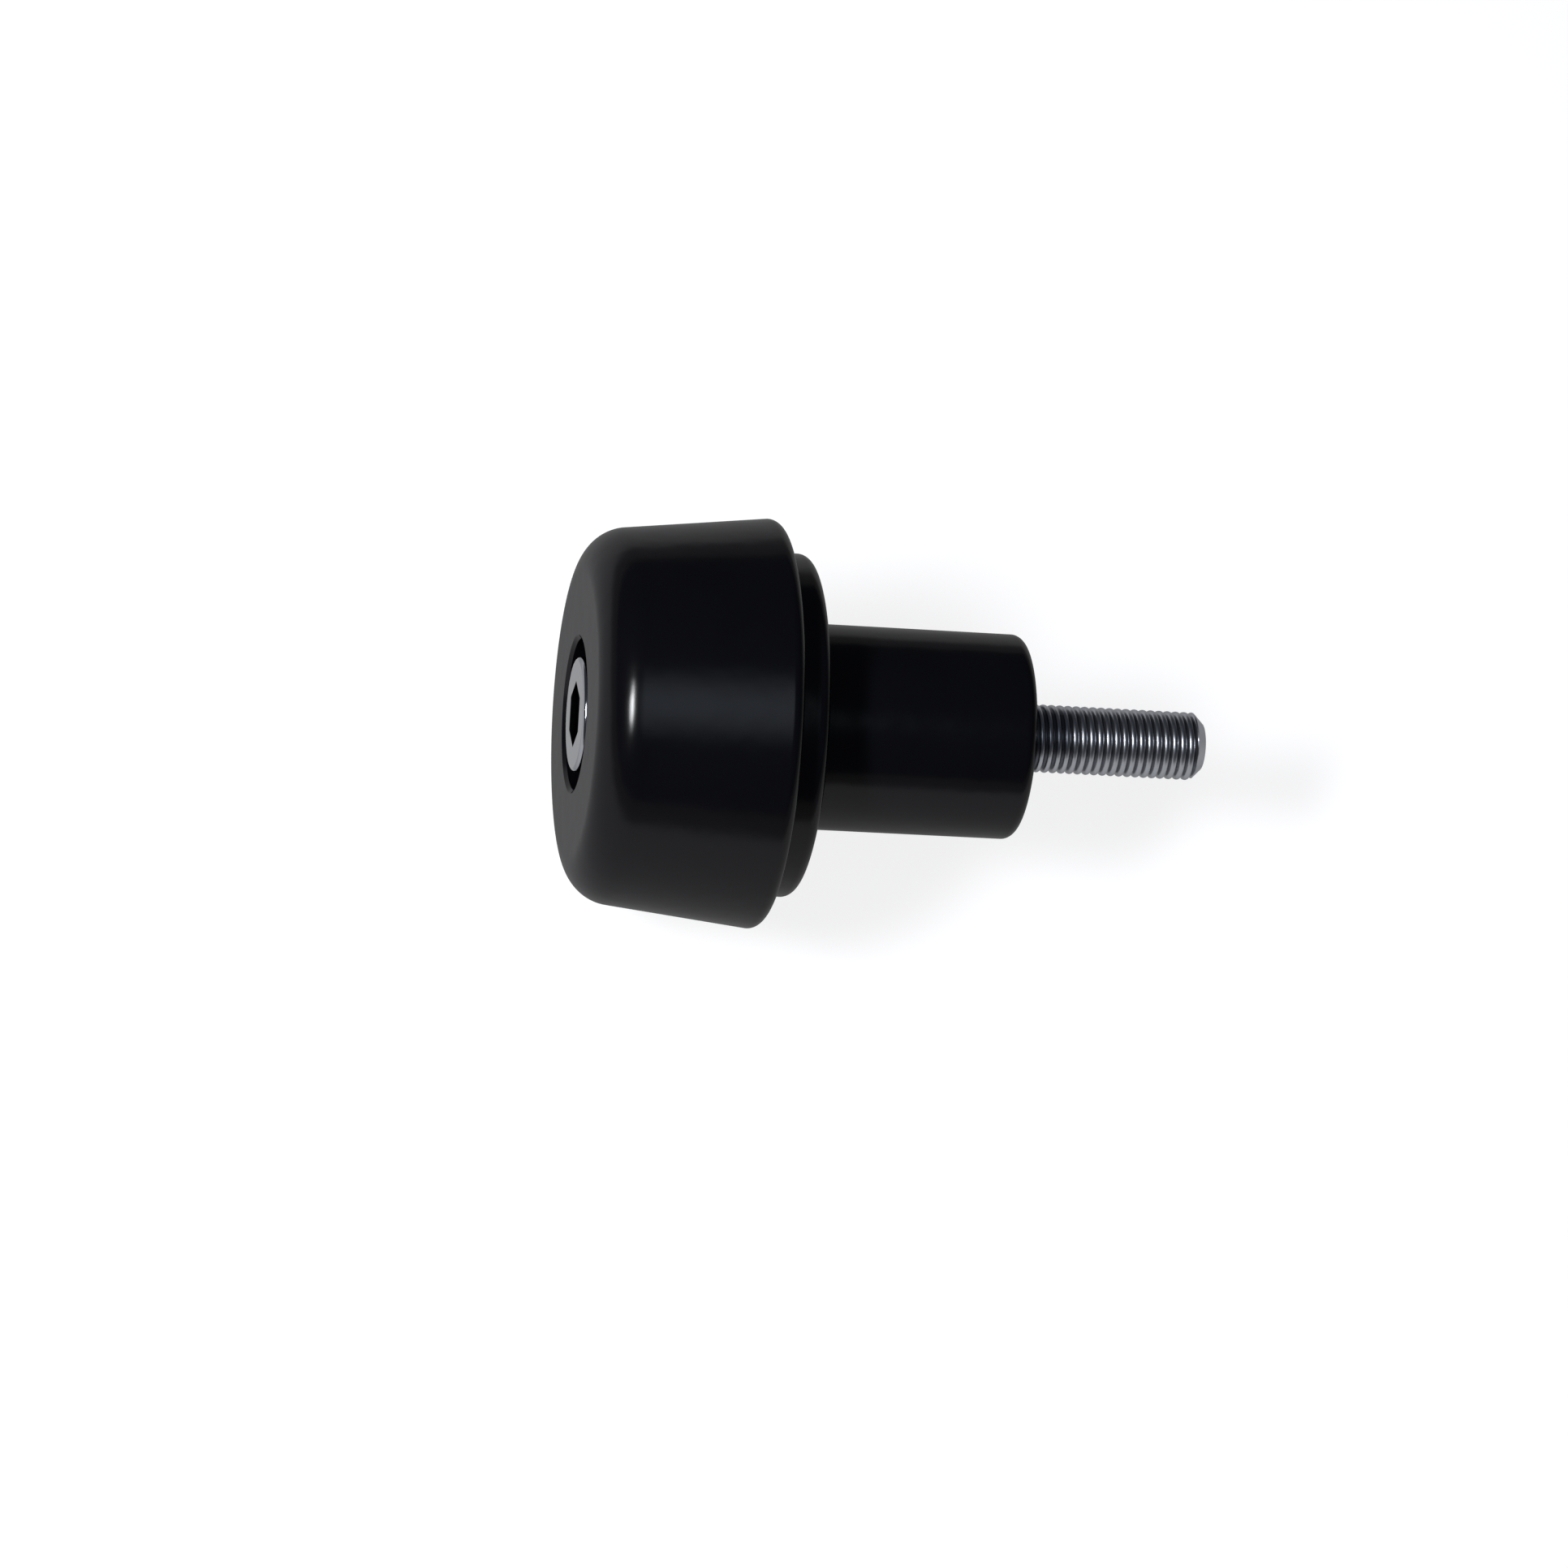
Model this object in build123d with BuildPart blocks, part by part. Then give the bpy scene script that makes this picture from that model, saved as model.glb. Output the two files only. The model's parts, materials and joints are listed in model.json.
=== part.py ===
from build123d import *
from math import cos, pi, radians, tan
import os

# Bar end weight for a motorcycle handlebar, in millimetres.
#
# A turned weight closes the bar's end. Its tapered head stands outside, its collar seats on the bar's
# end face and its spigot goes into the bar. A socket head cap screw passes through the weight, with its
# head sunk in the outer face and its threaded end standing out of the spigot, to screw into the bar.
#
# The origin is where the weight's axis meets the seat of the collar. +X runs along that axis into the
# bar, so the outer face looks towards -X, and +Z is up.

# Tapered head of the weight
nose_diameter = 32.0  # where the taper would meet the outer face, before its edge is rounded
rim_diameter = 36.0  # where the taper ends, at the back of the head
head_length = 17.0
nose_radius = 4.0
rim_radius = 1.0

# Collar that seats on the bar's end
collar_diameter = 30.0
collar_length = 2.8
collar_edge_radius = 1.0

# Spigot that goes into the bar
spigot_diameter = 18.0
spigot_length = 19.5
spigot_edge_radius = 1.0

# Cap screw
thread_diameter = 6.0
shank_diameter = 5.5  # rolled down to the thread's pitch diameter
screw_length = 50.0  # from under the head to the tip
screw_head_diameter = 10.0
screw_head_height = 6.0
screw_head_edge_radius = 0.35
tip_chamfer = 0.9
hex_across_flats = 5.0
hex_depth = 3.0  # to the end of the flats, where the drill point starts
drill_point_angle = 120.0

# Fits between the screw and the weight, whose outer face the head lies flush with
thread_clearance = 0.3  # all round the thread, in the through bore
head_clearance = 1.6  # all round the head, in the counterbore
counterbore_rim_chamfer = 0.3
bore_exit_chamfer = 0.4

# Stations along the axis
seat_x = 0.0
rim_x = seat_x - collar_length
face_x = rim_x - head_length
spigot_end_x = seat_x + spigot_length
bearing_x = face_x + screw_head_height
tip_x = bearing_x + screw_length
thread_start_x = spigot_end_x  # so that a nut on the thread can reach the spigot

# The outer face, looking out of the weight, and the top of the screw's head, looking into it
outer_face = Plane(origin=(face_x, 0, 0), x_dir=(0, 0, 1), z_dir=(-1, 0, 0))
head_top = Plane(origin=(face_x, 0, 0), x_dir=(0, 0, 1), z_dir=(1, 0, 0))


def rings_along_axis():
    """The round edges of the part being built, in groups from the outer face inwards."""
    return edges().filter_by(GeomType.CIRCLE).group_by(Axis.X)


def largest_ring(group):
    return group.sort_by(SortBy.RADIUS)[-1]


# Weight body
with BuildPart() as weight_body:
    with BuildSketch(Plane.XY):
        with BuildLine():
            Polyline(
                (face_x, 0),
                (face_x, nose_diameter / 2),
                (rim_x, rim_diameter / 2),
                (rim_x, collar_diameter / 2),
                (seat_x, collar_diameter / 2),
                (seat_x, spigot_diameter / 2),
                (spigot_end_x, spigot_diameter / 2),
                (spigot_end_x, 0),
                close=True,
            )
        make_face()
    revolve(axis=Axis.X)

    # Turned edges, from the spigot's end towards the outer face
    fillet(largest_ring(rings_along_axis()[3]), spigot_edge_radius)
    fillet(largest_ring(rings_along_axis()[2]), collar_edge_radius)
    fillet(largest_ring(rings_along_axis()[1]), rim_radius)
    fillet(largest_ring(rings_along_axis()[0]), nose_radius)

    # Stepped hole for the screw, its bearing face one head's height under the outer face
    with Locations(outer_face):
        CounterBoreHole(
            radius=thread_diameter / 2 + thread_clearance,
            counter_bore_radius=screw_head_diameter / 2 + head_clearance,
            counter_bore_depth=screw_head_height,
        )
    chamfer(rings_along_axis()[0].sort_by(SortBy.RADIUS)[0], counterbore_rim_chamfer)
    chamfer(rings_along_axis()[-1].sort_by(SortBy.RADIUS)[0], bore_exit_chamfer)
weight_body.part.label = "weight_body"

# Cap screw
hex_sides = 6
hex_corner_radius = hex_across_flats / 2 / cos(pi / hex_sides)
drill_point_depth = hex_across_flats / 2 / tan(radians(drill_point_angle / 2))

with BuildPart() as cap_screw:
    with BuildSketch(Plane.XY):
        with BuildLine():
            Polyline(
                (face_x, 0),
                (face_x, screw_head_diameter / 2),
                (bearing_x, screw_head_diameter / 2),
                (bearing_x, shank_diameter / 2),
                (thread_start_x, shank_diameter / 2),
                (thread_start_x, thread_diameter / 2),
                (tip_x, thread_diameter / 2),
                (tip_x, 0),
                close=True,
            )
        make_face()
    revolve(axis=Axis.X)
    fillet(rings_along_axis()[0], screw_head_edge_radius)
    chamfer(rings_along_axis()[-1], tip_chamfer)

    # Hexagon socket with two corners upright and a drill point at the bottom
    with BuildSketch(head_top):
        RegularPolygon(radius=hex_corner_radius, side_count=hex_sides)
    extrude(amount=hex_depth, mode=Mode.SUBTRACT)
    with Locations(head_top.offset(hex_depth)):
        Cone(
            bottom_radius=hex_across_flats / 2,
            top_radius=0,
            height=drill_point_depth,
            align=(Align.CENTER, Align.CENTER, Align.MIN),
            mode=Mode.SUBTRACT,
        )
cap_screw.part.label = "cap_screw"

os.makedirs("parts", exist_ok=True)
for piece in (weight_body, cap_screw):
    export_step(piece.part, f"parts/{piece.part.label}.step")
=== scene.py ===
"""Dresses the bar end weight in Blender: the turned weight, its cap screw and their stage.

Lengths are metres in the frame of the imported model. +X runs along the weight's axis into the handlebar,
the outer face looks towards -X, and the origin is where the axis meets the seat of the collar.
"""

import json
import math
from collections import namedtuple

import bpy
from mathutils import Matrix, Vector


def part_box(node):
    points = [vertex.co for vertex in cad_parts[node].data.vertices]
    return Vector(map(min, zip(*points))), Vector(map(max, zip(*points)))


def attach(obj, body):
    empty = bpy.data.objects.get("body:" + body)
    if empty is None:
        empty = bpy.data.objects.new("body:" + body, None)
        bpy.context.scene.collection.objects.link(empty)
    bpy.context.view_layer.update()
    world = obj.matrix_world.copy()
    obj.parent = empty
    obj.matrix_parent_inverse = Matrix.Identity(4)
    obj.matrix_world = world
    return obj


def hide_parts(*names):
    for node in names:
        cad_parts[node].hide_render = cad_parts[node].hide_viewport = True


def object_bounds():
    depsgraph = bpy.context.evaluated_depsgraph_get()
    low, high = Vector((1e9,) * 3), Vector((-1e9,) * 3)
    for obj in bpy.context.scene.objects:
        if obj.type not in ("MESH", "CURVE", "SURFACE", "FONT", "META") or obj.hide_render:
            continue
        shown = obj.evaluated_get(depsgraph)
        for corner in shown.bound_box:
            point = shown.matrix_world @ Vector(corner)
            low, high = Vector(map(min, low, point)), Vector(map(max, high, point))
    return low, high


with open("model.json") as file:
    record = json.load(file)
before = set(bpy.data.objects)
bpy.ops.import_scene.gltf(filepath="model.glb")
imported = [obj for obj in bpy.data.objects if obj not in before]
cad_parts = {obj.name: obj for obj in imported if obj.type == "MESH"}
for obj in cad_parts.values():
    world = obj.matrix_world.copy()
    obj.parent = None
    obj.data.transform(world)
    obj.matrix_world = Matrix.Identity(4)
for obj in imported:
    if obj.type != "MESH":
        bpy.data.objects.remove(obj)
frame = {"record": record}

bl_info = {
    "name": "Bar end weight",
    "version": (1, 0, 0),
    "blender": (4, 5, 0),
    "location": "View3D > Sidebar > Bar end",
    "description": "Makes a turned bar end weight, its socket head cap screw and a plain stage",
    "category": "Object",
}

MM = 0.001
CAD_BOX = [list(corner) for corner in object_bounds()]
WEIGHT_LOW, WEIGHT_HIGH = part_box("weight_body")
SCREW_LOW, SCREW_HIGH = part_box("cap_screw")
MOUNTS = {mount["name"]: mount for mount in frame["record"]["mounts"]}

# One row of a turned profile: its place along the axis, its radius, and how far it takes part in what is
# cut or rolled into the round, which is the key's hexagon, the knurl and the thread
Row = namedtuple("Row", "x radius hexagon knurl helix", defaults=(0.0, 0.0, 0.0))
MARKS = Row._fields[2:]

# A Mix node has inputs of the same names for each kind of value, so they are told apart by number
FACTOR = 0
FLOAT_A, FLOAT_B = 2, 3
COLOUR_A, COLOUR_B = 6, 7
MIXED_COLOUR = 2

# Most values of a noise lie between these
NOISE_LOW, NOISE_HIGH = 0.3, 0.7


def linear(hex_colour):
    """Turns an sRGB hex colour into linear values."""
    channels = [int(hex_colour[start:start + 2], 16) / 255 for start in (1, 3, 5)]
    return [c / 12.92 if c <= 0.04045 else ((c + 0.055) / 1.055) ** 2.4 for c in channels]


def add(tree, kind, settings=None, inputs=None):
    """Adds a node, makes its settings, and gives each input, by name or number, a value or a link."""
    node = tree.nodes.new(kind)
    for name, value in (settings or {}).items():
        setattr(node, name, value)
    for name, value in (inputs or {}).items():
        if isinstance(value, bpy.types.NodeSocket):
            tree.links.new(value, node.inputs[name])
        else:
            node.inputs[name].default_value = value
    return node


class WeightSettings(bpy.types.PropertyGroup):
    """Sizes and colour of the turned weight."""

    nose_diameter: bpy.props.FloatProperty(
        name="Nose diameter",
        description="Where the taper would meet the outer face, before the edge is rounded",
        default=32 * MM,
        unit="LENGTH",
    )
    rim_diameter: bpy.props.FloatProperty(
        name="Rim diameter",
        description="Where the taper would meet the back of the head, before the edge is rounded",
        default=36 * MM,
        unit="LENGTH",
    )
    nose_radius: bpy.props.FloatProperty(
        name="Nose radius",
        description="Rounding of the edge of the outer face",
        default=4 * MM,
        unit="LENGTH",
    )
    edge_radius: bpy.props.FloatProperty(
        name="Edge radius",
        description="Rounding of the rim, the collar and the spigot's end",
        default=1 * MM,
        unit="LENGTH",
    )
    collar_diameter: bpy.props.FloatProperty(
        name="Collar diameter",
        description="Collar that seats on the end of the bar",
        default=30 * MM,
        unit="LENGTH",
    )
    collar_length: bpy.props.FloatProperty(
        name="Collar length",
        description="From the back of the head to the seat",
        default=2.8 * MM,
        unit="LENGTH",
    )
    counterbore_diameter: bpy.props.FloatProperty(
        name="Counterbore diameter",
        description="Recess for the screw's head",
        default=13.2 * MM,
        unit="LENGTH",
    )
    counterbore_chamfer: bpy.props.FloatProperty(
        name="Counterbore chamfer",
        description="Broken edge of the recess",
        default=0.3 * MM,
        unit="LENGTH",
    )
    bore_diameter: bpy.props.FloatProperty(
        name="Bore diameter",
        description="Through bore for the screw",
        default=6.6 * MM,
        unit="LENGTH",
    )
    bore_chamfer: bpy.props.FloatProperty(
        name="Bore chamfer",
        description="Broken edge where the screw leaves the spigot",
        default=0.4 * MM,
        unit="LENGTH",
    )
    coating_colour: bpy.props.FloatVectorProperty(
        name="Coating colour",
        description="Satin black coating",
        default=linear("#08080b"),
        subtype="COLOR",
        min=0,
        max=1,
    )


class ScrewSettings(bpy.types.PropertyGroup):
    """Sizes and colour of the cap screw."""

    head_diameter: bpy.props.FloatProperty(
        name="Head diameter",
        description="Over the crests of the knurl",
        default=10 * MM,
        unit="LENGTH",
    )
    head_height: bpy.props.FloatProperty(
        name="Head height",
        description="From the bearing face to the top of the head",
        default=6 * MM,
        unit="LENGTH",
    )
    head_edge_radius: bpy.props.FloatProperty(
        name="Head edge radius",
        description="Rounding of the top edge of the head",
        default=0.35 * MM,
        unit="LENGTH",
    )
    across_flats: bpy.props.FloatProperty(
        name="Across flats",
        description="Hexagon socket for the key",
        default=5 * MM,
        unit="LENGTH",
    )
    socket_depth: bpy.props.FloatProperty(
        name="Socket depth",
        description="From the top of the head to the end of the flats",
        default=3 * MM,
        unit="LENGTH",
    )
    point_angle: bpy.props.FloatProperty(
        name="Point angle",
        description="Cone at the bottom of the socket",
        default=math.radians(120),
        subtype="ANGLE",
    )
    knurl_ribs: bpy.props.IntProperty(
        name="Knurl ribs",
        description="Straight ribs round the head",
        default=48,
    )
    knurl_depth: bpy.props.FloatProperty(
        name="Knurl depth",
        description="From the crest of a rib to the groove beside it",
        default=0.14 * MM,
        unit="LENGTH",
    )
    shank_diameter: bpy.props.FloatProperty(
        name="Shank diameter",
        description="Plain shank between the head and the thread",
        default=5.5 * MM,
        unit="LENGTH",
    )
    thread_pitch: bpy.props.FloatProperty(
        name="Thread pitch",
        description="From one crest to the next",
        default=0.75 * MM,
        unit="LENGTH",
    )
    thread_length: bpy.props.FloatProperty(
        name="Thread length",
        description="Rolled thread, from just inside the bore to the tip",
        default=17.45 * MM,
        unit="LENGTH",
    )
    tip_chamfer: bpy.props.FloatProperty(
        name="Tip chamfer",
        description="Chamfer at the end of the thread",
        default=0.9 * MM,
        unit="LENGTH",
    )
    zinc_colour: bpy.props.FloatVectorProperty(
        name="Zinc colour",
        description="Bright zinc plate",
        default=linear("#909195"),
        subtype="COLOR",
        min=0,
        max=1,
    )


class StageSettings(bpy.types.PropertyGroup):
    """Camera, floor and lamps."""

    camera_elevation: bpy.props.FloatProperty(
        name="Camera elevation",
        description="How far the camera looks down",
        default=math.radians(60),
        subtype="ANGLE",
    )
    axis_turn: bpy.props.FloatProperty(
        name="Axis turn",
        description="How far the weight's axis leaves the plane of the picture",
        default=math.radians(10.86),
        subtype="ANGLE",
    )
    axis_slope: bpy.props.FloatProperty(
        name="Axis slope",
        description="How far the weight's axis runs down to the right in the picture",
        default=math.radians(2.9),
        subtype="ANGLE",
    )
    face_distance: bpy.props.FloatProperty(
        name="Face distance",
        description="From the camera to the middle of the outer face, along the line of sight",
        default=527.65 * MM,
        unit="LENGTH",
    )
    floor_colour: bpy.props.FloatVectorProperty(
        name="Floor colour",
        description="Matt paper of the floor and its upturned edge, before its glow lifts it to white",
        default=linear("#7e7e80"),
        subtype="COLOR",
        min=0,
        max=1,
    )
    room_colour: bpy.props.FloatVectorProperty(
        name="Room colour",
        description="Dim cool room above the floor's edge",
        default=linear("#9aa0b0"),
        subtype="COLOR",
        min=0,
        max=1,
    )
    key_power: bpy.props.FloatProperty(
        name="Key power",
        description="Tall lamp to the left of the camera",
        default=20,
        unit="POWER",
    )
    key_colour: bpy.props.FloatVectorProperty(
        name="Key colour",
        description="Light of the key lamp",
        default=linear("#fafcff"),
        subtype="COLOR",
        min=0,
        max=1,
    )
    fill_power: bpy.props.FloatProperty(
        name="Fill power",
        description="Lamp above the camera, a little to the right",
        default=0.5,
        unit="POWER",
    )
    fill_colour: bpy.props.FloatVectorProperty(
        name="Fill colour",
        description="Cool light of the fill lamp",
        default=linear("#e3f0ff"),
        subtype="COLOR",
        min=0,
        max=1,
    )


def turned_piece_tree():
    """Builds the tree that turns a profile about the X axis and works into it what its rows ask for."""
    tree = bpy.data.node_groups.new("turned_piece", "GeometryNodeTree")
    for name, kind in (
        ("Profile", "NodeSocketGeometry"),
        ("Segments", "NodeSocketInt"),
        ("Across flats", "NodeSocketFloat"),
        ("Knurl ribs", "NodeSocketInt"),
        ("Knurl depth", "NodeSocketFloat"),
        ("Thread pitch", "NodeSocketFloat"),
        ("Thread start", "NodeSocketFloat"),
        ("Thread end", "NodeSocketFloat"),
        ("Thread lead in", "NodeSocketFloat"),
        ("Shank radius", "NodeSocketFloat"),
        ("Tip radius", "NodeSocketFloat"),
        ("Material", "NodeSocketMaterial"),
    ):
        tree.interface.new_socket(name, in_out="INPUT", socket_type=kind)
    tree.interface.new_socket("Piece", in_out="OUTPUT", socket_type="NodeSocketGeometry")
    size = add(tree, "NodeGroupInput").outputs

    # A grid with a row for each row of the profile, and columns that go once round the axis
    rows = add(tree, "GeometryNodeAttributeDomainSize", inputs={"Geometry": size["Profile"]})
    columns = add(tree, "FunctionNodeIntegerMath", {"operation": "ADD"}, {0: size["Segments"], 1: 1})
    grid = add(
        tree,
        "GeometryNodeMeshGrid",
        inputs={"Vertices X": rows.outputs["Point Count"], "Vertices Y": columns.outputs[0]},
    )
    index = add(tree, "GeometryNodeInputIndex")
    row = add(
        tree,
        "FunctionNodeIntegerMath",
        {"operation": "DIVIDE_FLOOR"},
        {0: index.outputs[0], 1: columns.outputs[0]},
    )
    column = add(
        tree,
        "FunctionNodeIntegerMath",
        {"operation": "FLOORED_MODULO"},
        {0: index.outputs[0], 1: columns.outputs[0]},
    )
    turn = add(
        tree,
        "ShaderNodeMath",
        {"operation": "DIVIDE"},
        {0: column.outputs[0], 1: size["Segments"]},
    )
    angle = add(tree, "ShaderNodeMath", {"operation": "MULTIPLY"}, {0: turn.outputs[0], 1: math.tau})

    # What the profile says of this row
    position = add(tree, "GeometryNodeInputPosition")
    place = add(
        tree,
        "GeometryNodeSampleIndex",
        {"data_type": "FLOAT_VECTOR"},
        {"Geometry": size["Profile"], "Value": position.outputs[0], "Index": row.outputs[0]},
    )
    place = add(tree, "ShaderNodeSeparateXYZ", inputs={0: place.outputs[0]})
    mark = {}
    for name in MARKS:
        named = add(tree, "GeometryNodeInputNamedAttribute", {"data_type": "FLOAT"}, {"Name": name})
        sampled = add(
            tree,
            "GeometryNodeSampleIndex",
            {"data_type": "FLOAT"},
            {"Geometry": size["Profile"], "Value": named.outputs["Attribute"], "Index": row.outputs[0]},
        )
        mark[name] = sampled.outputs[0]

    # Hexagon with a flat towards +Y, so that two of its corners are upright
    side_angle = math.pi / 3
    shifted = add(tree, "ShaderNodeMath", {"operation": "ADD"}, {0: angle.outputs[0], 1: side_angle / 2})
    wedge = add(
        tree,
        "ShaderNodeMath",
        {"operation": "FLOORED_MODULO"},
        {0: shifted.outputs[0], 1: side_angle},
    )
    wedge = add(
        tree,
        "ShaderNodeMath",
        {"operation": "SUBTRACT"},
        {0: wedge.outputs[0], 1: side_angle / 2},
    )
    wedge = add(tree, "ShaderNodeMath", {"operation": "COSINE"}, {0: wedge.outputs[0]})
    half_flats = add(tree, "ShaderNodeMath", {"operation": "MULTIPLY"}, {0: size["Across flats"], 1: 0.5})
    flat = add(
        tree,
        "ShaderNodeMath",
        {"operation": "DIVIDE"},
        {0: half_flats.outputs[0], 1: wedge.outputs[0]},
    )
    radius = add(
        tree,
        "ShaderNodeMix",
        {"data_type": "FLOAT"},
        {FACTOR: mark["hexagon"], FLOAT_A: place.outputs["Y"], FLOAT_B: flat.outputs[0]},
    )

    # Knurl: straight ribs, with grooves cut into the round
    ribs = add(
        tree,
        "ShaderNodeMath",
        {"operation": "MULTIPLY"},
        {0: turn.outputs[0], 1: size["Knurl ribs"]},
    )
    ribs = add(tree, "ShaderNodeMath", {"operation": "MULTIPLY"}, {0: ribs.outputs[0], 1: 2.0})
    groove = add(tree, "ShaderNodeMath", {"operation": "PINGPONG"}, {0: ribs.outputs[0], 1: 1.0})
    groove = add(
        tree,
        "ShaderNodeMath",
        {"operation": "MULTIPLY"},
        {0: groove.outputs[0], 1: size["Knurl depth"]},
    )
    groove = add(
        tree,
        "ShaderNodeMath",
        {"operation": "MULTIPLY"},
        {0: groove.outputs[0], 1: mark["knurl"]},
    )
    radius = add(
        tree,
        "ShaderNodeMath",
        {"operation": "SUBTRACT"},
        {0: radius.outputs[0], 1: groove.outputs[0]},
    )

    # Thread: its rows climb one pitch a turn, grow out of the shank and run out on the chamfer of the tip
    climbed = add(
        tree,
        "ShaderNodeMath",
        {"operation": "MULTIPLY_ADD"},
        {0: turn.outputs[0], 1: size["Thread pitch"], 2: place.outputs["X"]},
    )
    climbed = add(
        tree,
        "ShaderNodeClamp",
        inputs={0: climbed.outputs[0], 1: size["Thread start"], 2: size["Thread end"]},
    )
    rolled_in = add(
        tree,
        "ShaderNodeMath",
        {"operation": "SUBTRACT"},
        {0: climbed.outputs[0], 1: size["Thread start"]},
    )
    rolled_in = add(
        tree,
        "ShaderNodeMath",
        {"operation": "DIVIDE", "use_clamp": True},
        {0: rolled_in.outputs[0], 1: size["Thread lead in"]},
    )
    thread = add(
        tree,
        "ShaderNodeMix",
        {"data_type": "FLOAT"},
        {FACTOR: rolled_in.outputs[0], FLOAT_A: size["Shank radius"], FLOAT_B: radius.outputs[0]},
    )
    chamfer = add(
        tree,
        "ShaderNodeMath",
        {"operation": "SUBTRACT"},
        {0: size["Thread end"], 1: climbed.outputs[0]},
    )
    chamfer = add(
        tree,
        "ShaderNodeMath",
        {"operation": "ADD"},
        {0: chamfer.outputs[0], 1: size["Tip radius"]},
    )
    thread = add(
        tree,
        "ShaderNodeMath",
        {"operation": "MINIMUM"},
        {0: thread.outputs[0], 1: chamfer.outputs[0]},
    )
    along = add(
        tree,
        "ShaderNodeMix",
        {"data_type": "FLOAT"},
        {FACTOR: mark["helix"], FLOAT_A: place.outputs["X"], FLOAT_B: climbed.outputs[0]},
    )
    radius = add(
        tree,
        "ShaderNodeMix",
        {"data_type": "FLOAT"},
        {FACTOR: mark["helix"], FLOAT_A: radius.outputs[0], FLOAT_B: thread.outputs[0]},
    )

    # The grid goes to its place round the axis, and its seam, its poles and its run-outs close
    weld_distance = 0.001 * MM
    cosine = add(tree, "ShaderNodeMath", {"operation": "COSINE"}, {0: angle.outputs[0]})
    sine = add(tree, "ShaderNodeMath", {"operation": "SINE"}, {0: angle.outputs[0]})
    across = add(
        tree,
        "ShaderNodeMath",
        {"operation": "MULTIPLY"},
        {0: radius.outputs[0], 1: cosine.outputs[0]},
    )
    up = add(
        tree,
        "ShaderNodeMath",
        {"operation": "MULTIPLY"},
        {0: radius.outputs[0], 1: sine.outputs[0]},
    )
    place = add(
        tree,
        "ShaderNodeCombineXYZ",
        inputs={0: along.outputs[0], 1: across.outputs[0], 2: up.outputs[0]},
    )
    piece = add(
        tree,
        "GeometryNodeSetPosition",
        inputs={"Geometry": grid.outputs["Mesh"], "Position": place.outputs[0]},
    )
    piece = add(
        tree,
        "GeometryNodeMergeByDistance",
        inputs={"Geometry": piece.outputs[0], "Distance": weld_distance},
    )
    piece = add(tree, "GeometryNodeFlipFaces", inputs={"Mesh": piece.outputs[0]})

    # Smooth all over, apart from the edges that a tool leaves sharp
    sharp_angle = math.radians(32)
    piece = add(tree, "GeometryNodeSetShadeSmooth", {"domain": "FACE"}, {"Geometry": piece.outputs[0]})
    bend = add(tree, "GeometryNodeInputMeshEdgeAngle")
    sharp = add(
        tree,
        "FunctionNodeCompare",
        {"data_type": "FLOAT", "operation": "GREATER_THAN"},
        {0: bend.outputs["Unsigned Angle"], 1: sharp_angle},
    )
    piece = add(
        tree,
        "GeometryNodeSetShadeSmooth",
        {"domain": "EDGE"},
        {"Geometry": piece.outputs[0], "Selection": sharp.outputs[0], "Shade Smooth": False},
    )
    piece = add(tree, "GeometryNodeRealizeInstances", inputs={"Geometry": piece.outputs[0]})
    piece = add(
        tree,
        "GeometryNodeSetMaterial",
        inputs={"Geometry": piece.outputs[0], "Material": size["Material"]},
    )
    add(tree, "NodeGroupOutput", inputs={"Piece": piece.outputs[0]})
    return tree


def turned_rows(corners, arc_steps):
    """Gives the rows of a section of straight cuts, with its corners rounded over.

    Each corner is (x, radius, rounding). A straight cut gets a row close to each end, so that smooth
    shading bends only there.
    """
    guard = 0.06 * MM
    shortest_guarded_cut = 6 * guard
    points = []
    before = [corners[0]] + corners[:-1]
    after = corners[1:] + [corners[-1]]
    for (*previous, _), (*here, rounding), (*following, _) in zip(before, corners, after):
        corner = Vector(here)
        if rounding == 0:
            points.append(corner)
            continue
        back = (Vector(previous) - corner).normalized()
        ahead = (Vector(following) - corner).normalized()
        half = back.angle(ahead) / 2
        centre = corner + (back + ahead).normalized() * rounding / math.sin(half)
        first = corner + back * rounding / math.tan(half) - centre
        last = corner + ahead * rounding / math.tan(half) - centre
        for step in range(arc_steps + 1):
            points.append(centre + rounding * first.slerp(last, step / arc_steps))
    rows = []
    for start, end in zip(points, points[1:]):
        rows.append(start)
        cut = end - start
        if cut.length > shortest_guarded_cut:
            rows.append(start + cut.normalized() * guard)
            rows.append(end - cut.normalized() * guard)
    rows.append(points[-1])
    return [Row(point.x, point.y) for point in rows]


def turned_piece(name, rows, sizes):
    """Runs a profile's rows through the tree and gives the piece as a plain mesh."""
    profile = bpy.data.meshes.new(name + "_profile")
    profile.from_pydata([(row.x, row.radius, 0) for row in rows], [], [])
    for mark in MARKS:
        attribute = profile.attributes.new(mark, "FLOAT", "POINT")
        attribute.data.foreach_set("value", [getattr(row, mark) for row in rows])
    piece = bpy.data.objects.new(name, profile)
    bpy.context.scene.collection.objects.link(piece)

    turning = piece.modifiers.new("turning", "NODES")
    turning.node_group = bpy.data.node_groups.get("turned_piece") or turned_piece_tree()
    for socket in turning.node_group.interface.items_tree:
        if socket.name in sizes:
            turning[socket.identifier] = sizes[socket.name]
    evaluated = piece.evaluated_get(bpy.context.evaluated_depsgraph_get())
    piece.data = bpy.data.meshes.new_from_object(evaluated)
    piece.data.name = name
    piece.modifiers.remove(turning)
    bpy.data.meshes.remove(profile)
    if not piece.data.polygons:
        raise RuntimeError(f"{name} came out of the tree with no faces")
    return piece


def material_tree(name):
    """Starts a material and gives it with its tree and its shader."""
    material = bpy.data.materials.new(name)
    material.use_nodes = True
    return material, material.node_tree, material.node_tree.nodes["Principled BSDF"]


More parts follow.
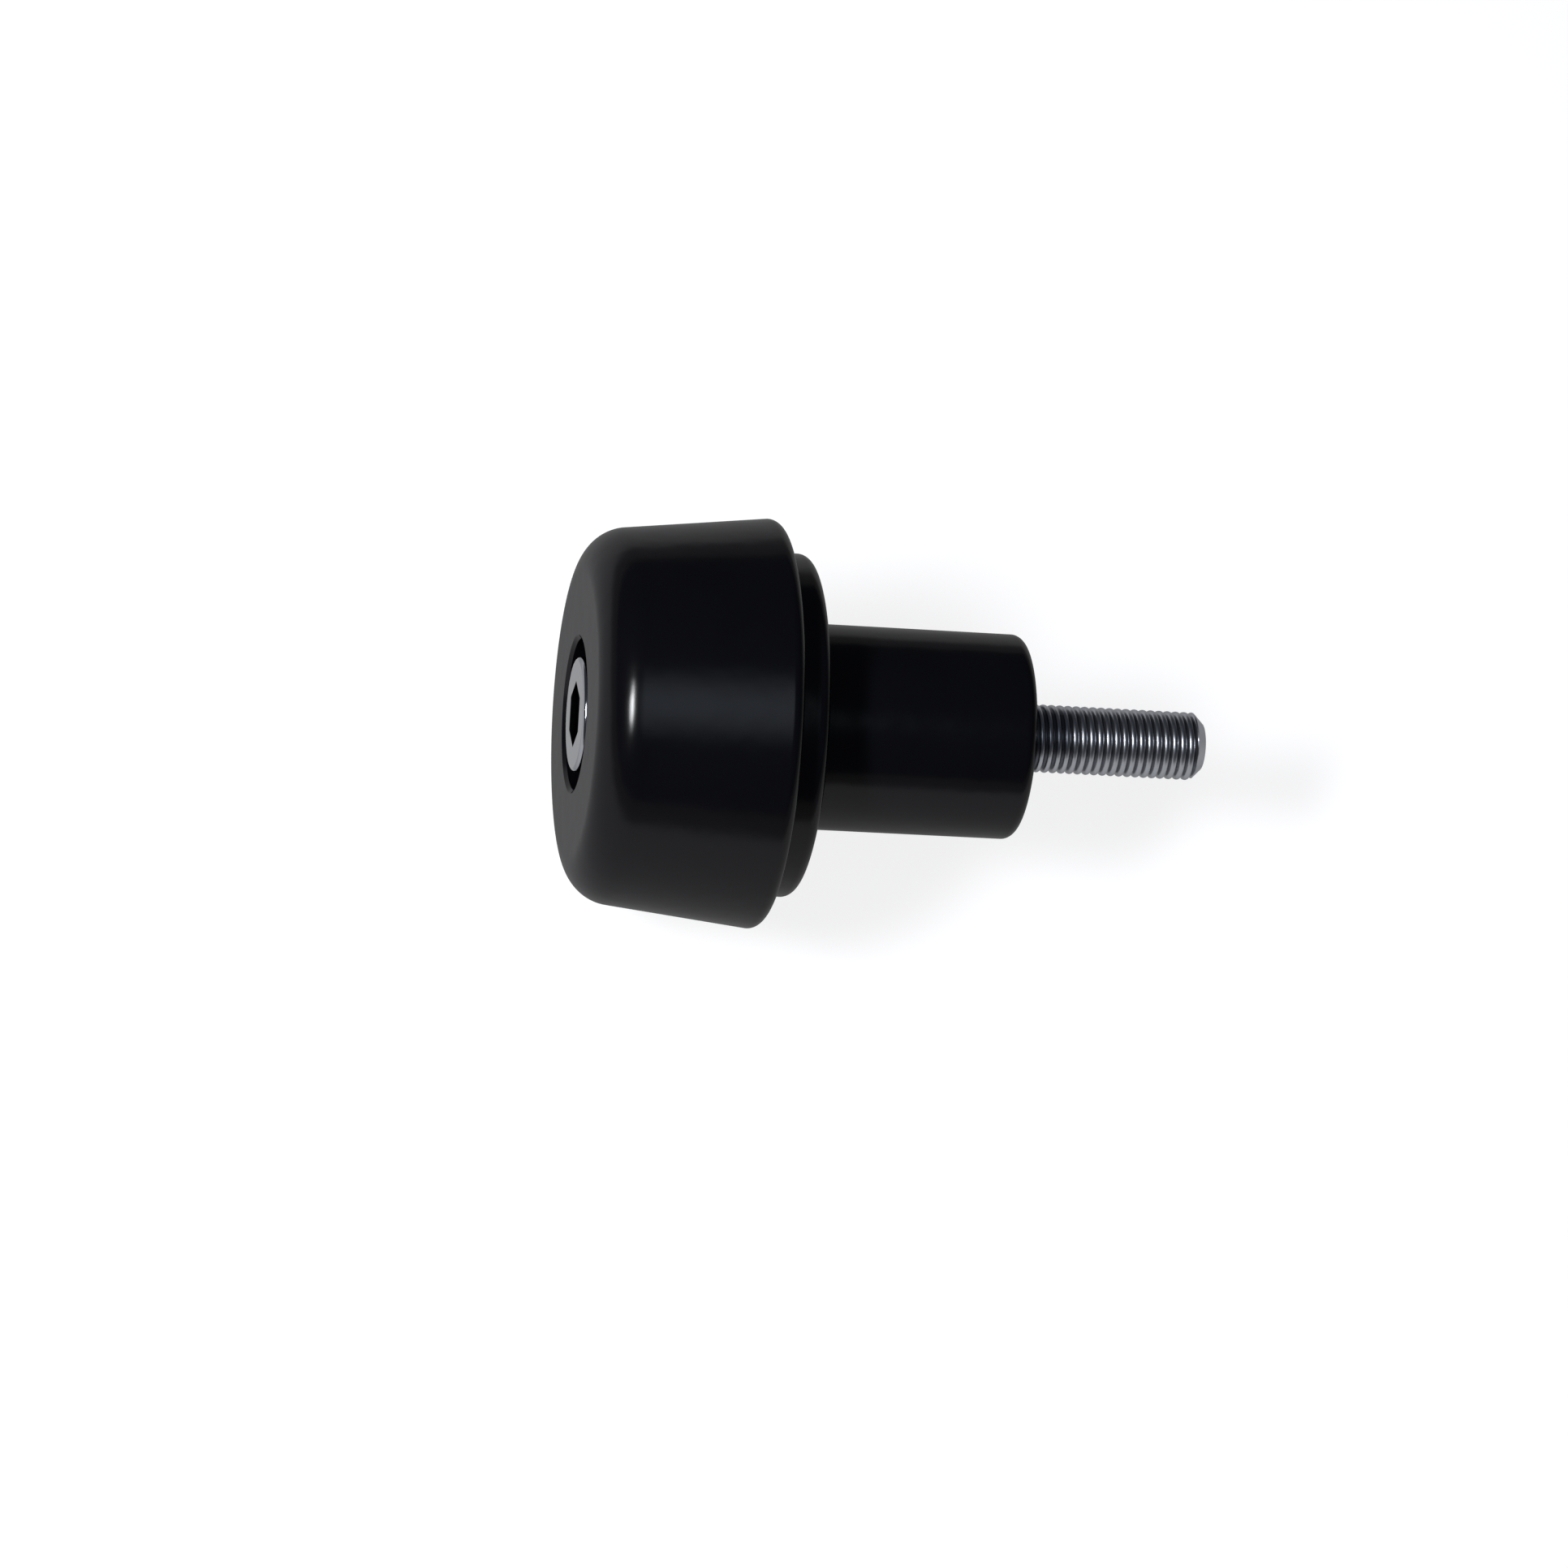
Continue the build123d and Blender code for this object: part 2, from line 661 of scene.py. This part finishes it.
def satin_black_coating(colour):
    """Satin black coating over turned steel.

    The thin coating is black with a cool cast. It follows the lathe's fine rings, and its own fine grain
    spreads a lamp's reflection into a soft edge.
    """
    material, tree, shader = material_tree("satin_black_coating")
    place = add(tree, "ShaderNodeTexCoord").outputs["Object"]
    apart = add(tree, "ShaderNodeSeparateXYZ", inputs={0: place})

    # Distance along the profile, about: along the axis on the taper and outwards on a face
    spoke = add(tree, "ShaderNodeCombineXYZ", inputs={1: apart.outputs["Y"], 2: apart.outputs["Z"]})
    spoke = add(tree, "ShaderNodeVectorMath", {"operation": "LENGTH"}, {0: spoke.outputs[0]})
    travel = add(
        tree,
        "ShaderNodeMath",
        {"operation": "ADD"},
        {0: apart.outputs["X"], 1: spoke.outputs["Value"]},
    )
    # Rings of a 0.1 mm feed are too fine to show, so they are drawn 0.35 mm apart
    rings = add(
        tree,
        "ShaderNodeTexNoise",
        {"noise_dimensions": "1D"},
        {"W": travel.outputs[0], "Scale": 1 / (0.35 * MM), "Detail": 1.0},
    )
    # Grain of the cured coating, 0.2 mm across
    grain = add(
        tree,
        "ShaderNodeTexNoise",
        inputs={"Vector": place, "Scale": 1 / (0.2 * MM), "Detail": 2.0, "Roughness": 0.6},
    )
    # Slight waviness of the coating, 2.5 mm from crest to crest
    waves = add(
        tree,
        "ShaderNodeTexNoise",
        inputs={"Vector": place, "Scale": 1 / (2.5 * MM), "Detail": 1.0},
    )
    # Slight change of shade over 7 mm
    patches = add(
        tree,
        "ShaderNodeTexNoise",
        inputs={"Vector": place, "Scale": 1 / (7 * MM), "Detail": 2.0},
    )

    dark_shade = (*[0.75 * channel for channel in colour], 1.0)
    light_shade = (*[1.25 * channel for channel in colour], 1.0)
    shade = add(
        tree,
        "ShaderNodeMix",
        {"data_type": "RGBA"},
        {FACTOR: patches.outputs["Fac"], COLOUR_A: dark_shade, COLOUR_B: light_shade},
    )
    tree.links.new(shade.outputs[MIXED_COLOUR], shader.inputs["Base Color"])
    gloss = add(
        tree,
        "ShaderNodeMapRange",
        inputs={
            "Value": grain.outputs["Fac"],
            "From Min": NOISE_LOW,
            "From Max": NOISE_HIGH,
            "To Min": 0.40,
            "To Max": 0.50,
        },
    )
    tree.links.new(gloss.outputs[0], shader.inputs["Roughness"])
    wave_depth = 0.03 * MM
    ring_depth = 0.0004 * MM
    grain_depth = 0.0015 * MM
    bumps = add(tree, "ShaderNodeBump", inputs={"Distance": wave_depth, "Height": waves.outputs["Fac"]})
    for height, depth in ((rings, ring_depth), (grain, grain_depth)):
        bumps = add(
            tree,
            "ShaderNodeBump",
            inputs={
                "Distance": depth,
                "Height": height.outputs["Fac"],
                "Normal": bumps.outputs["Normal"],
            },
        )
    tree.links.new(bumps.outputs["Normal"], shader.inputs["Normal"])
    tree.links.new(bumps.outputs["Normal"], shader.inputs["Coat Normal"])
    # All of the shine is the coat's
    shader.inputs["Specular IOR Level"].default_value = 0.0
    shader.inputs["Coat Weight"].default_value = 0.19
    shader.inputs["Coat IOR"].default_value = 1.7
    shader.inputs["Coat Roughness"].default_value = 0.17
    return material


def bright_zinc_plate(colour, socket_mouth_x, socket_end_x, socket_radius):
    """Bright zinc plate on steel.

    The plate is a pale cool metal, a little uneven, with the faint blue cast of its passivation. It
    shines on the forged head and is duller on the rolled thread. In the key's socket, shade is painted
    into its colour, darker the deeper it goes.
    """
    material, tree, shader = material_tree("bright_zinc_plate")
    place = add(tree, "ShaderNodeTexCoord").outputs["Object"]
    apart = add(tree, "ShaderNodeSeparateXYZ", inputs={0: place})
    # Crystals of the plate, drawn 0.15 mm across so that they show
    grain = add(
        tree,
        "ShaderNodeTexNoise",
        inputs={"Vector": place, "Scale": 1 / (0.15 * MM), "Detail": 3.0, "Roughness": 0.6},
    )
    # Uneven passivation over 2 mm
    cast = add(tree, "ShaderNodeTexNoise", inputs={"Vector": place, "Scale": 1 / (2 * MM), "Detail": 2.0})
    bluish_shade = (0.91 * colour[0], 0.93 * colour[1], 0.95 * colour[2], 1.0)
    shade = add(
        tree,
        "ShaderNodeMix",
        {"data_type": "RGBA"},
        {FACTOR: cast.outputs["Fac"], COLOUR_A: bluish_shade, COLOUR_B: (*colour, 1.0)},
    )
    # Painted shade in the key's socket: inside its corners, and the deeper the darker over its first 0.6
    # mm
    darkest_x = socket_mouth_x + 0.6 * MM
    spoke = add(tree, "ShaderNodeCombineXYZ", inputs={1: apart.outputs["Y"], 2: apart.outputs["Z"]})
    spoke = add(tree, "ShaderNodeVectorMath", {"operation": "LENGTH"}, {0: spoke.outputs[0]})
    inside = add(
        tree,
        "ShaderNodeMath",
        {"operation": "LESS_THAN"},
        {0: spoke.outputs["Value"], 1: socket_radius},
    )
    outside_shank = add(
        tree,
        "ShaderNodeMath",
        {"operation": "LESS_THAN"},
        {0: apart.outputs["X"], 1: socket_end_x},
    )
    painted_socket_shade_mask = add(
        tree,
        "ShaderNodeMapRange",
        inputs={"Value": apart.outputs["X"], "From Min": socket_mouth_x, "From Max": darkest_x},
    )
    for limit in (inside, outside_shank):
        painted_socket_shade_mask = add(
            tree,
            "ShaderNodeMath",
            {"operation": "MULTIPLY"},
            {0: painted_socket_shade_mask.outputs[0], 1: limit.outputs[0]},
        )
    # Colour of the painted shade down in the socket
    painted_socket_shade = (0.38 * colour[0], 0.44 * colour[1], 0.41 * colour[2], 1.0)
    shade = add(
        tree,
        "ShaderNodeMix",
        {"data_type": "RGBA"},
        {FACTOR: painted_socket_shade_mask.outputs[0], COLOUR_A: shade.outputs[MIXED_COLOUR], COLOUR_B: painted_socket_shade},
    )
    tree.links.new(shade.outputs[MIXED_COLOUR], shader.inputs["Base Color"])
    gloss = add(
        tree,
        "ShaderNodeMapRange",
        inputs={
            "Value": grain.outputs["Fac"],
            "From Min": NOISE_LOW,
            "From Max": NOISE_HIGH,
            "To Min": 0.09,
            "To Max": 0.13,
        },
    )
    # The rolled thread is duller than the forged head, and the shank between them changes over
    change_start_x, change_end_x = -10 * MM, 10 * MM
    dulled = add(
        tree,
        "ShaderNodeMapRange",
        inputs={
            "Value": apart.outputs["X"],
            "From Min": change_start_x,
            "From Max": change_end_x,
            "To Min": 0.0,
            "To Max": 0.18,
        },
    )
    gloss = add(tree, "ShaderNodeMath", {"operation": "ADD"}, {0: gloss.outputs[0], 1: dulled.outputs[0]})
    tree.links.new(gloss.outputs[0], shader.inputs["Roughness"])
    bumps = add(
        tree,
        "ShaderNodeBump",
        inputs={"Strength": 0.15, "Distance": 0.01 * MM, "Height": grain.outputs["Fac"]},
    )
    tree.links.new(bumps.outputs["Normal"], shader.inputs["Normal"])
    shader.inputs["Metallic"].default_value = 1.0
    # Reflects less at a grazing angle
    shader.inputs["Specular Tint"].default_value = (0.5, 0.5, 0.5, 1.0)
    return material


def white_paper(colour, glow, far_glow):
    """Matt white paper of the floor.

    Its glow, which only the camera, reflections and clear things see, lifts it to plain white round the
    part and leaves it the shadow of what lies on it. Further out the glow fades, as the light on a studio
    floor does.
    """
    material, tree, shader = material_tree("white_paper")
    shader.inputs["Base Color"].default_value = (*colour, 1.0)
    shader.inputs["Roughness"].default_value = 0.9
    shader.inputs["Specular IOR Level"].default_value = 0.0
    shader.inputs["Emission Color"].default_value = (1.0, 1.0, 1.0, 1.0)
    white_radius, faded_radius = 0.11, 0.4
    place = add(tree, "ShaderNodeTexCoord").outputs["Object"]
    distance = add(tree, "ShaderNodeVectorMath", {"operation": "LENGTH"}, {0: place})
    strength = add(
        tree,
        "ShaderNodeMapRange",
        {"interpolation_type": "SMOOTHSTEP"},
        {
            "Value": distance.outputs["Value"],
            "From Min": white_radius,
            "From Max": faded_radius,
            "To Min": glow,
            "To Max": far_glow,
        },
    )
    path = add(tree, "ShaderNodeLightPath").outputs
    seen = add(
        tree,
        "ShaderNodeMath",
        {"operation": "ADD"},
        {0: path["Is Camera Ray"], 1: path["Is Glossy Ray"]},
    )
    seen = add(
        tree,
        "ShaderNodeMath",
        {"operation": "ADD", "use_clamp": True},
        {0: seen.outputs[0], 1: path["Is Transmission Ray"]},
    )
    seen = add(
        tree,
        "ShaderNodeMath",
        {"operation": "MULTIPLY"},
        {0: seen.outputs[0], 1: strength.outputs[0]},
    )
    tree.links.new(seen.outputs[0], shader.inputs["Emission Strength"])
    return material


class BAREND_OT_weight(bpy.types.Operator):
    """Turns the weight: tapered head, collar, spigot and the stepped hole for the screw."""

    bl_idname = "barend.weight"
    bl_label = "Weight"

    def execute(self, context):
        sizes = context.scene.bar_end_weight
        face_x = WEIGHT_LOW.x
        rim_x = -sizes.collar_length
        bearing_x = SCREW_LOW.x + context.scene.bar_end_screw.head_height
        end_x = WEIGHT_HIGH.x
        collar_radius = sizes.collar_diameter / 2
        spigot_radius = MOUNTS["spigot"]["dims"]["r_mm"] * MM
        recess_radius = sizes.counterbore_diameter / 2
        bore_radius = sizes.bore_diameter / 2
        edge = sizes.edge_radius
        recess_mouth = (face_x, recess_radius + sizes.counterbore_chamfer, 0)
        section = [
            recess_mouth,
            (face_x, sizes.nose_diameter / 2, sizes.nose_radius),
            (rim_x, sizes.rim_diameter / 2, edge),
            (rim_x, collar_radius, 0),
            (0, collar_radius, edge),
            (0, spigot_radius, 0),
            (end_x, spigot_radius, edge),
            (end_x, bore_radius + sizes.bore_chamfer, 0),
            (end_x - sizes.bore_chamfer, bore_radius, 0),
            (bearing_x, bore_radius, 0),
            (bearing_x, recess_radius, 0),
            (face_x + sizes.counterbore_chamfer, recess_radius, 0),
            recess_mouth,
        ]
        coating = satin_black_coating(sizes.coating_colour)
        rows = turned_rows(section, arc_steps=32)
        weight = turned_piece("weight", rows, {"Segments": 288, "Material": coating})
        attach(weight, "root")
        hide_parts("weight_body")
        return {"FINISHED"}


class BAREND_OT_screw(bpy.types.Operator):
    """Makes the cap screw: socket, knurled head, shank and rolled thread."""

    bl_idname = "barend.screw"
    bl_label = "Cap screw"

    def execute(self, context):
        sizes = context.scene.bar_end_screw
        top_x = SCREW_LOW.x
        tip_x = SCREW_HIGH.x
        bearing_x = top_x + sizes.head_height
        start_x = tip_x - sizes.thread_length
        head_radius = sizes.head_diameter / 2
        shank_radius = sizes.shank_diameter / 2
        thread_radius = MOUNTS["stud"]["dims"]["r_mm"] * MM
        tip_radius = thread_radius - sizes.tip_chamfer

        # Socket, from its drill point out to its mouth
        half_flats = sizes.across_flats / 2
        corner_radius = half_flats / math.cos(math.pi / 6)
        point_radius = 0.98 * half_flats  # just clear of the flats
        point_depth = half_flats / math.tan(sizes.point_angle / 2)
        mouth_radius = corner_radius + 0.02 * MM  # just clear of the corners
        flats_end_x = top_x + sizes.socket_depth
        rows = [
            Row(flats_end_x + point_depth, 0),
            Row(flats_end_x, point_radius),
            Row(flats_end_x, half_flats, hexagon=1),
            Row(top_x, half_flats, hexagon=1),
        ]

        # Head and shank, with the knurl on the straight side of the head
        underside_radius = 0.2 * MM
        knurl_start_x = top_x + 1.3 * sizes.head_edge_radius  # a little under the rounded edge
        knurl_end_x = bearing_x - 2 * underside_radius
        turned = turned_rows(
            [
                (top_x, mouth_radius, 0),
                (top_x, head_radius, sizes.head_edge_radius),
                (knurl_start_x, head_radius, 0),
                (knurl_end_x, head_radius, 0),
                (bearing_x, head_radius, underside_radius),
                (bearing_x, shank_radius, 0),
                (start_x, shank_radius, 0),
            ],
            arc_steps=12,
        )
        for row in turned:
            ribbed = row.radius == head_radius and knurl_start_x < row.x < knurl_end_x
            rows.append(row._replace(knurl=1.0 if ribbed else 0.0))

        # Thread, as one pitch of its section repeated: a rounded crest, two flanks at 60 degrees and a
        # sharp root, in shares of the pitch along the axis and inwards
        pitch = sizes.thread_pitch
        section = [
            (0, 0),
            (0.09, 0.01),
            (0.18, 0.04),
            (0.27, 0.09),
            (0.38, 0.28),
            (0.48, 0.45),
            (0.5, 0.465),
        ]
        section += [(1 - share, depth) for share, depth in section[-2:0:-1]]
        for turn in range(math.ceil(sizes.thread_length / pitch) + 2):
            for share, depth in section:
                x = start_x + (turn - 1 + share) * pitch
                rows.append(Row(x, thread_radius - depth * pitch, helix=1))
        rows += [Row(tip_x, tip_radius), Row(tip_x, 0)]

        zinc = bright_zinc_plate(sizes.zinc_colour, top_x, bearing_x, mouth_radius)
        screw = turned_piece(
            "screw",
            rows,
            {
                "Segments": 192,
                "Across flats": sizes.across_flats,
                "Knurl ribs": sizes.knurl_ribs,
                "Knurl depth": sizes.knurl_depth,
                "Thread pitch": pitch,
                "Thread start": start_x,
                "Thread end": tip_x,
                "Thread lead in": pitch,
                "Shank radius": shank_radius,
                "Tip radius": tip_radius,
                "Material": zinc,
            },
        )
        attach(screw, "root")
        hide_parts("cap_screw")
        return {"FINISHED"}


class BAREND_OT_stage(bpy.types.Operator):
    """Sets up the white floor with its upturned edge, the dim room, the lamps and the camera."""

    bl_idname = "barend.stage"
    bl_label = "Stage"

    def execute(self, context):
        scene = context.scene
        self.floor(scene)
        self.room(scene)
        self.camera(scene)
        self.lamps(scene)
        scene.view_settings.view_transform = "Standard"
        return {"FINISHED"}

    def floor(self, scene):
        """A round sheet of paper that the rim rests on, wider than any view, with its edge turned up."""
        level = WEIGHT_LOW.z
        middle_radius = 0.375
        flat_radius = 1.5
        bend_radius = 0.2
        wall_height = 0.3
        bend_steps = 12
        segments = 96
        profile = [(middle_radius, level), (flat_radius, level)]
        for step in range(1, bend_steps + 1):
            bend = step / bend_steps * math.pi / 2
            out = flat_radius + bend_radius * math.sin(bend)
            profile.append((out, level + bend_radius * (1 - math.cos(bend))))
        profile.append((flat_radius + bend_radius, level + wall_height))
        angles = [math.tau * n / segments for n in range(segments)]
        spokes = [(math.cos(angle), math.sin(angle)) for angle in angles]
        vertices = [
            (radius * cosine, radius * sine, z) for radius, z in profile for cosine, sine in spokes
        ]
        faces = [tuple(range(segments))]
        for ring in range(len(profile) - 1):
            for n in range(segments):
                inner = ring * segments
                outer = inner + segments
                beside = (n + 1) % segments
                faces.append((inner + n, outer + n, outer + beside, inner + beside))
        mesh = bpy.data.meshes.new("floor")
        mesh.from_pydata(vertices, [], faces)
        mesh.shade_smooth()
        mesh.materials.append(white_paper(scene.bar_end_stage.floor_colour, glow=0.85, far_glow=0.3))
        floor = bpy.data.objects.new("floor", mesh)
        scene.collection.objects.link(floor)

    def room(self, scene):
        """An even dim light from above the floor's edge."""
        world = bpy.data.worlds.new("room")
        world.use_nodes = True
        background = world.node_tree.nodes["Background"]
        background.inputs["Color"].default_value = (*scene.bar_end_stage.room_colour, 1.0)
        background.inputs["Strength"].default_value = 0.22
        scene.world = world

    def lamps(self, scene):
        """Soft lamps in front of the weight, each placed in degrees beside the camera and above it."""
        sizes = scene.bar_end_stage
        middle = (Vector(CAD_BOX[0]) + Vector(CAD_BOX[1])) / 2
        right, up, back = scene.camera.matrix_world.to_3x3().transposed()
        for name, beside, above, distance, width, height, power, colour in (
            ("key_lamp", -28, 7.4, 0.7, 0.18, 0.37, sizes.key_power, sizes.key_colour),
            ("fill_lamp", 4, 8, 0.4, 0.30, 0.36, sizes.fill_power, sizes.fill_colour),
        ):
            turn, tilt = math.radians(beside), math.radians(above)
            out = (right * math.sin(turn) + back * math.cos(turn)) * math.cos(tilt) + up * math.sin(tilt)
            data = bpy.data.lights.new(name, "AREA")
            data.shape = "ELLIPSE"
            data.size = width
            data.size_y = height
            data.energy = power
            data.color = colour
            self.soften(data)
            lamp = bpy.data.objects.new(name, data)
            side = up.cross(out).normalized()
            lamp.matrix_world = (
                Matrix.Translation(middle + out * distance)
                @ Matrix((side, out.cross(side), out)).transposed().to_4x4()
            )
            lamp.visible_camera = False
            scene.collection.objects.link(lamp)

    def soften(self, lamp):
        """Lets a lamp's light fade from its middle to its edge, as a soft box's does."""
        lamp.use_nodes = True
        tree = lamp.node_tree
        place = add(tree, "ShaderNodeNewGeometry").outputs["Parametric"]
        lamp_middle = (0.5, 0.5, 0)
        edge_distance = 0.5
        outwards = add(
            tree,
            "ShaderNodeVectorMath",
            {"operation": "DISTANCE"},
            {0: place, 1: lamp_middle},
        )
        fade = add(
            tree,
            "ShaderNodeMapRange",
            {"interpolation_type": "SMOOTHSTEP"},
            {
                "Value": outwards.outputs["Value"],
                "From Max": edge_distance,
                "To Min": 1.0,
                "To Max": 0.0,
            },
        )
        tree.links.new(fade.outputs[0], tree.nodes["Emission"].inputs["Strength"])

    def camera(self, scene):
        """Places the camera so that the outer face and the axis lie in the picture as in the photo."""
        sizes = scene.bar_end_stage
        picture_side = 1932
        focal_pixels = 7500
        face_pixel = (707.8, 879.8)
        sensor_width = 36

        tilt = sizes.camera_elevation
        turn = -math.asin(math.sin(sizes.axis_turn) / math.cos(tilt))
        back = Vector((math.sin(turn) * math.cos(tilt), -math.cos(turn) * math.cos(tilt), math.sin(tilt)))
        level_right = Vector((math.cos(turn), math.sin(turn), 0))
        level_up = back.cross(level_right)
        roll = math.atan2(level_up.x, level_right.x) + sizes.axis_slope
        right = level_right * math.cos(roll) + level_up * math.sin(roll)
        up = back.cross(right)

        face_middle = Vector((WEIGHT_LOW.x, 0, 0))
        scale = sizes.face_distance / focal_pixels
        across = (face_pixel[0] - picture_side / 2) * scale
        down = (face_pixel[1] - picture_side / 2) * scale
        eye = face_middle - right * across + up * down + back * sizes.face_distance

        data = bpy.data.cameras.new("camera")
        data.sensor_width = sensor_width
        data.lens = sensor_width * focal_pixels / picture_side
        data.clip_start = 0.01
        camera = bpy.data.objects.new("camera", data)
        camera.matrix_world = Matrix.Translation(eye) @ Matrix((right, up, back)).transposed().to_4x4()
        scene.collection.objects.link(camera)
        scene.camera = camera


class BAREND_PT_panel(bpy.types.Panel):
    """Lists the pieces and the stage."""

    bl_idname = "BAREND_PT_panel"
    bl_label = "Bar end weight"
    bl_space_type = "VIEW_3D"
    bl_region_type = "UI"
    bl_category = "Bar end"

    def draw(self, context):
        for operator, settings in (
            (BAREND_OT_weight, context.scene.bar_end_weight),
            (BAREND_OT_screw, context.scene.bar_end_screw),
            (BAREND_OT_stage, context.scene.bar_end_stage),
        ):
            box = self.layout.box()
            box.operator(operator.bl_idname)
            for name in settings.__annotations__:
                box.prop(settings, name)


CLASSES = (
    WeightSettings,
    ScrewSettings,
    StageSettings,
    BAREND_OT_weight,
    BAREND_OT_screw,
    BAREND_OT_stage,
    BAREND_PT_panel,
)


def register():
    for each in CLASSES:
        bpy.utils.register_class(each)
    bpy.types.Scene.bar_end_weight = bpy.props.PointerProperty(type=WeightSettings)
    bpy.types.Scene.bar_end_screw = bpy.props.PointerProperty(type=ScrewSettings)
    bpy.types.Scene.bar_end_stage = bpy.props.PointerProperty(type=StageSettings)


def unregister():
    del bpy.types.Scene.bar_end_stage
    del bpy.types.Scene.bar_end_screw
    del bpy.types.Scene.bar_end_weight
    for each in reversed(CLASSES):
        bpy.utils.unregister_class(each)


def main():
    register()
    bpy.ops.barend.weight()
    bpy.ops.barend.screw()
    bpy.ops.barend.stage()


if __name__ == "__main__":
    main()
